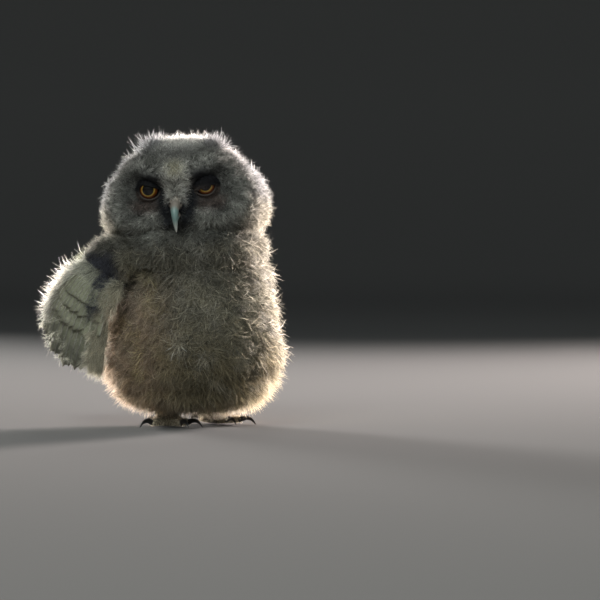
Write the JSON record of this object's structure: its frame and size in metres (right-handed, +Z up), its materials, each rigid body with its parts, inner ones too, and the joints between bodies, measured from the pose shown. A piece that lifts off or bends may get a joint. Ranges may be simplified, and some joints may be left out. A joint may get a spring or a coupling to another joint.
{
  "type": "long-eared owl chick",
  "caption": "Still life-size model of a young downy long-eared owl sitting upright, head turned to its right, wings folded, feathered feet flat on the ground.",
  "frame": {"origin": "middle of the base of the whole bird, on the ground it stands on", "axes": "+Z up, -Y the way the breast faces, +X the bird's left; the head is turned about 50 degrees to the bird's right"},
  "size_m": [0.1388, 0.1748, 0.1959],
  "materials": {
    "beak": "satin blue-grey horn",
    "cere": "bare grey skin",
    "claw": "glossy black horn",
    "down": "soft pale grey down with darker bands",
    "flight": "grey-brown barred flight feathers",
    "iris": "wet yellow-orange eye with a black pupil",
    "leg": "short buff down",
    "lid": "dark bare eyelid skin",
    "ruff": "soft grey-brown down"
  },
  "bodies": {
    "root": {"beak_lower": "beak", "beak_upper": "beak", "cere": "cere", "claw_left_hind": "claw", "claw_left_inner": "claw", "claw_left_middle": "claw", "claw_left_outer": "claw", "claw_right_hind": "claw", "claw_right_inner": "claw", "claw_right_middle": "claw", "claw_right_outer": "claw", "ear_tuft_left": "down", "ear_tuft_right": "down", "eye_left": "iris", "eye_right": "iris", "foot_left": "leg", "foot_right": "leg", "head": "down", "leg_left": "leg", "leg_right": "leg", "lids_left": "lid", "lids_right": "lid", "neck": "ruff", "tail": "flight", "torso": "down", "wing_left": "flight", "wing_right": "flight"}
  },
  "joints": []
}
